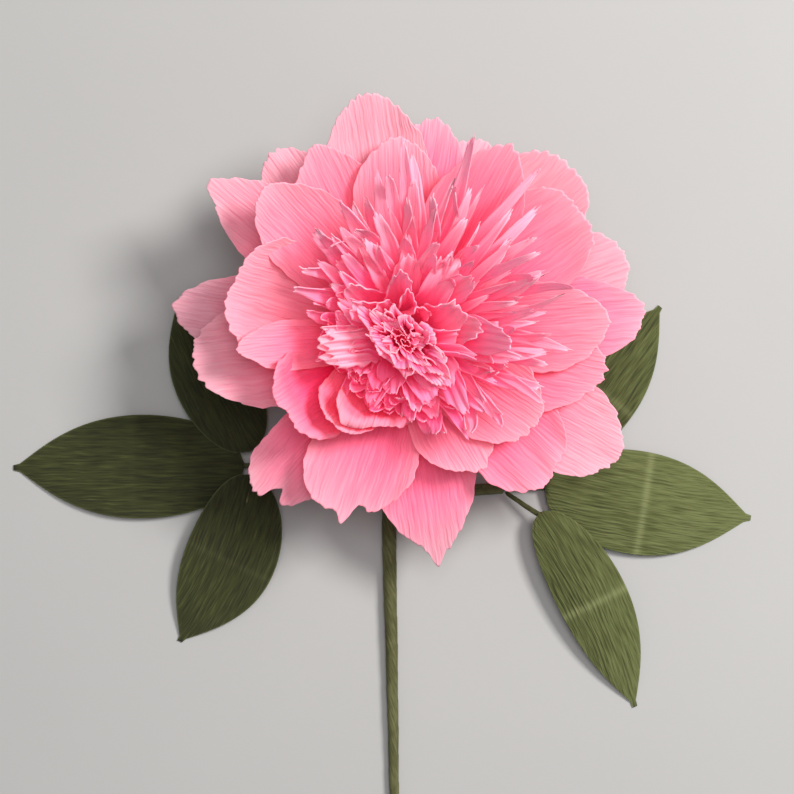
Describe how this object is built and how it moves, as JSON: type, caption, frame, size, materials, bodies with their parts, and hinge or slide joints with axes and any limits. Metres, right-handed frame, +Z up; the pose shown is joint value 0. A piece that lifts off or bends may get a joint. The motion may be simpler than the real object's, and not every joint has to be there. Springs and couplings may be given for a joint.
{
  "type": "crepe paper peony",
  "caption": "Crepe paper peony with broad outer petals, a fringed centre and two wired leaf branches on a tape-wrapped wire stem, lying on its back as a decoration.",
  "frame": {"origin": "under the middle of the flower's box, on the surface that it lies on", "axes": "+Z up, the way the open head faces; the stem runs towards -Y; the leaf branches spread along X"},
  "size_m": [0.2932, 0.328, 0.098],
  "materials": {
    "back_petal_paper": "pale pink crepe paper, ridged along the petal",
    "front_petal_paper": "pink crepe paper, ridged along the petal",
    "fringe_paper": "pink crepe paper with frayed pale tips",
    "centre_paper": "deep pink ruffled crepe paper",
    "leaf_paper": "olive green crepe paper, ridged along the leaf",
    "stem_tape": "olive green crepe tape wound in a spiral",
    "floral_wire": "plain cut wire end"
  },
  "bodies": {
    "root": {"back_petal_01": "back_petal_paper", "back_petal_02": "back_petal_paper", "back_petal_03": "back_petal_paper", "back_petal_04": "back_petal_paper", "back_petal_05": "back_petal_paper", "back_petal_06": "back_petal_paper", "back_petal_07": "back_petal_paper", "back_petal_08": "back_petal_paper", "back_petal_09": "back_petal_paper", "back_petal_10": "back_petal_paper", "back_petal_11": "back_petal_paper", "back_petal_12": "back_petal_paper", "back_petal_13": "back_petal_paper", "front_petal_01": "front_petal_paper", "front_petal_02": "front_petal_paper", "front_petal_03": "front_petal_paper", "front_petal_04": "front_petal_paper", "front_petal_05": "front_petal_paper", "front_petal_06": "front_petal_paper", "front_petal_07": "front_petal_paper", "front_petal_08": "front_petal_paper", "front_petal_09": "front_petal_paper", "front_petal_10": "front_petal_paper", "front_petal_11": "front_petal_paper", "front_petal_12": "front_petal_paper", "front_petal_13": "front_petal_paper", "front_petal_14": "front_petal_paper", "front_petal_15": "front_petal_paper", "front_petal_16": "front_petal_paper", "fringe_strip_1": "fringe_paper", "fringe_strip_2": "fringe_paper", "fringe_strip_3": "fringe_paper", "fringe_strip_4": "fringe_paper", "fringe_strip_5": "fringe_paper", "fringe_strip_6": "fringe_paper", "fringe_strip_7": "fringe_paper", "fringe_strip_8": "fringe_paper", "fringe_strip_9": "fringe_paper", "centre_frill_1": "centre_paper", "centre_frill_2": "centre_paper", "core_roll": "centre_paper", "calyx": "leaf_paper", "receptacle": "stem_tape", "stem_wrap": "stem_tape", "stem_wire": "floral_wire", "petiole_left": "stem_tape", "leaf_left_upper": "leaf_paper", "leaf_wire_left_upper": "stem_tape", "leaf_left_middle": "leaf_paper", "leaf_wire_left_middle": "stem_tape", "leaf_left_lower": "leaf_paper", "leaf_wire_left_lower": "stem_tape", "petiole_right": "stem_tape", "leaf_right_upper": "leaf_paper", "leaf_wire_right_upper": "stem_tape", "leaf_right_middle": "leaf_paper", "leaf_wire_right_middle": "stem_tape", "leaf_right_lower": "leaf_paper", "leaf_wire_right_lower": "stem_tape"}
  },
  "joints": []
}
